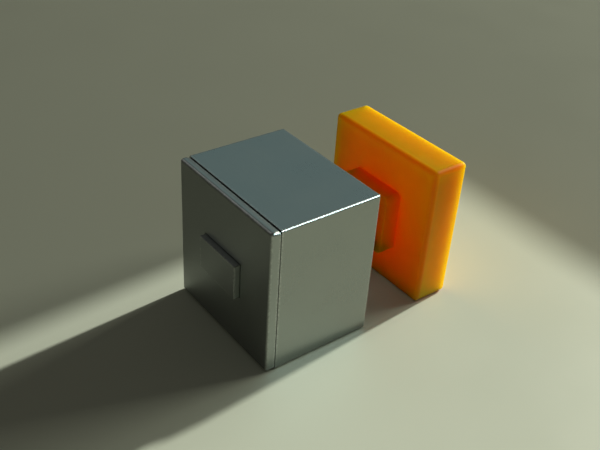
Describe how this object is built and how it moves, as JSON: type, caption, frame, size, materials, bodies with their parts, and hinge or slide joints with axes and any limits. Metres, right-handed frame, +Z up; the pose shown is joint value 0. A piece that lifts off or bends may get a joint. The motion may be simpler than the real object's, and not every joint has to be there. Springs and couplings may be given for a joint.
{
  "type": "puzzle box",
  "caption": "Small metal puzzle box with a hidden drawer behind its button front and a translucent key block that plugs magnetically into a square socket in its back.",
  "frame": {"origin": "middle of the case's flat underside", "axes": "+Z up; the drawer opens towards -Y; the key block stands off the back along +Y; X across the box"},
  "size_m": [0.0776, 0.1227, 0.08],
  "materials": {
    "gunmetal": "satin gunmetal, faint fine grain, semi-mirror",
    "orange_resin": "tinted translucent resin, softly polished, glows where light passes through",
    "aluminium": "bead blasted",
    "steel": "machined",
    "nickel_magnet": "nickel plate",
    "brass": "machined",
    "black_plastic": "moulded, fine texture",
    "charcoal_felt": "felt"
  },
  "bodies": {
    "case": {"case_shell": "gunmetal", "rail_left": "black_plastic", "rail_right": "black_plastic", "strike_upper": "steel", "strike_lower": "steel", "back_frame": "aluminium", "back_panel": "gunmetal", "back_screw_1": "steel", "back_screw_2": "steel", "back_screw_3": "steel", "back_screw_4": "steel", "socket_cup": "black_plastic", "socket_screw_left": "steel", "socket_screw_right": "steel", "socket_magnet_left": "nickel_magnet", "socket_magnet_right": "nickel_magnet", "pin_bush_left": "brass", "pin_bush_right": "brass"},
    "drawer": {"front_cover": "gunmetal", "drawer_tray": "aluminium", "tray_liner": "charcoal_felt", "runner_left": "brass", "runner_right": "brass", "lock_housing": "black_plastic", "standoff_1": "brass", "standoff_2": "brass", "standoff_3": "brass", "standoff_4": "brass", "cover_screw_1": "steel", "cover_screw_2": "steel", "cover_screw_3": "steel", "cover_screw_4": "steel", "housing_screw_upper": "steel", "housing_screw_lower": "steel", "keeper_magnet": "nickel_magnet", "bolt_spring_upper": "steel", "bolt_spring_lower": "steel"},
    "button": {"front_button": "gunmetal", "lock_cam": "brass", "cam_screw": "steel"},
    "upper_bolt": {"bolt_upper": "steel"},
    "lower_bolt": {"bolt_lower": "steel"},
    "key": {"key_block": "orange_resin", "key_magnet_left": "nickel_magnet", "key_magnet_right": "nickel_magnet", "lift_magnet_left": "nickel_magnet", "lift_magnet_right": "nickel_magnet"},
    "left_pin": {"lock_pin_left": "steel"},
    "right_pin": {"lock_pin_right": "steel"}
  },
  "joints": [
    {"name": "drawer_slide", "type": "slide", "parent": "case", "child": "drawer", "axis": [0, -1, 0], "range_m": [0, 0.0325]},
    {"name": "button_press", "type": "slide", "parent": "drawer", "child": "button", "axis": [0, 1, 0], "range_m": [0, 0.003], "stiffness_N_per_m": 200, "springref_m": -0.002},
    {"name": "upper_bolt_slide", "type": "slide", "parent": "drawer", "child": "upper_bolt", "axis": [0, 0, 1], "range_m": [0, 0.003], "deforming": ["bolt_spring_upper"]},
    {"name": "lower_bolt_slide", "type": "slide", "parent": "drawer", "child": "lower_bolt", "axis": [0, 0, -1], "range_m": [0, 0.003], "deforming": ["bolt_spring_lower"]},
    {"name": "key_slide", "type": "slide", "parent": "case", "child": "key", "axis": [0, -1, 0], "range_m": [0, 0.0357]},
    {"name": "left_pin_lift", "type": "slide", "parent": "case", "child": "left_pin", "axis": [0, 0, 1], "range_m": [0, 0.0034]},
    {"name": "right_pin_lift", "type": "slide", "parent": "case", "child": "right_pin", "axis": [0, 0, 1], "range_m": [0, 0.0034]}
  ],
  "couplings": [
    {"joint": "upper_bolt_slide", "follows": "button_press", "ratio": 1},
    {"joint": "lower_bolt_slide", "follows": "button_press", "ratio": 1}
  ]
}
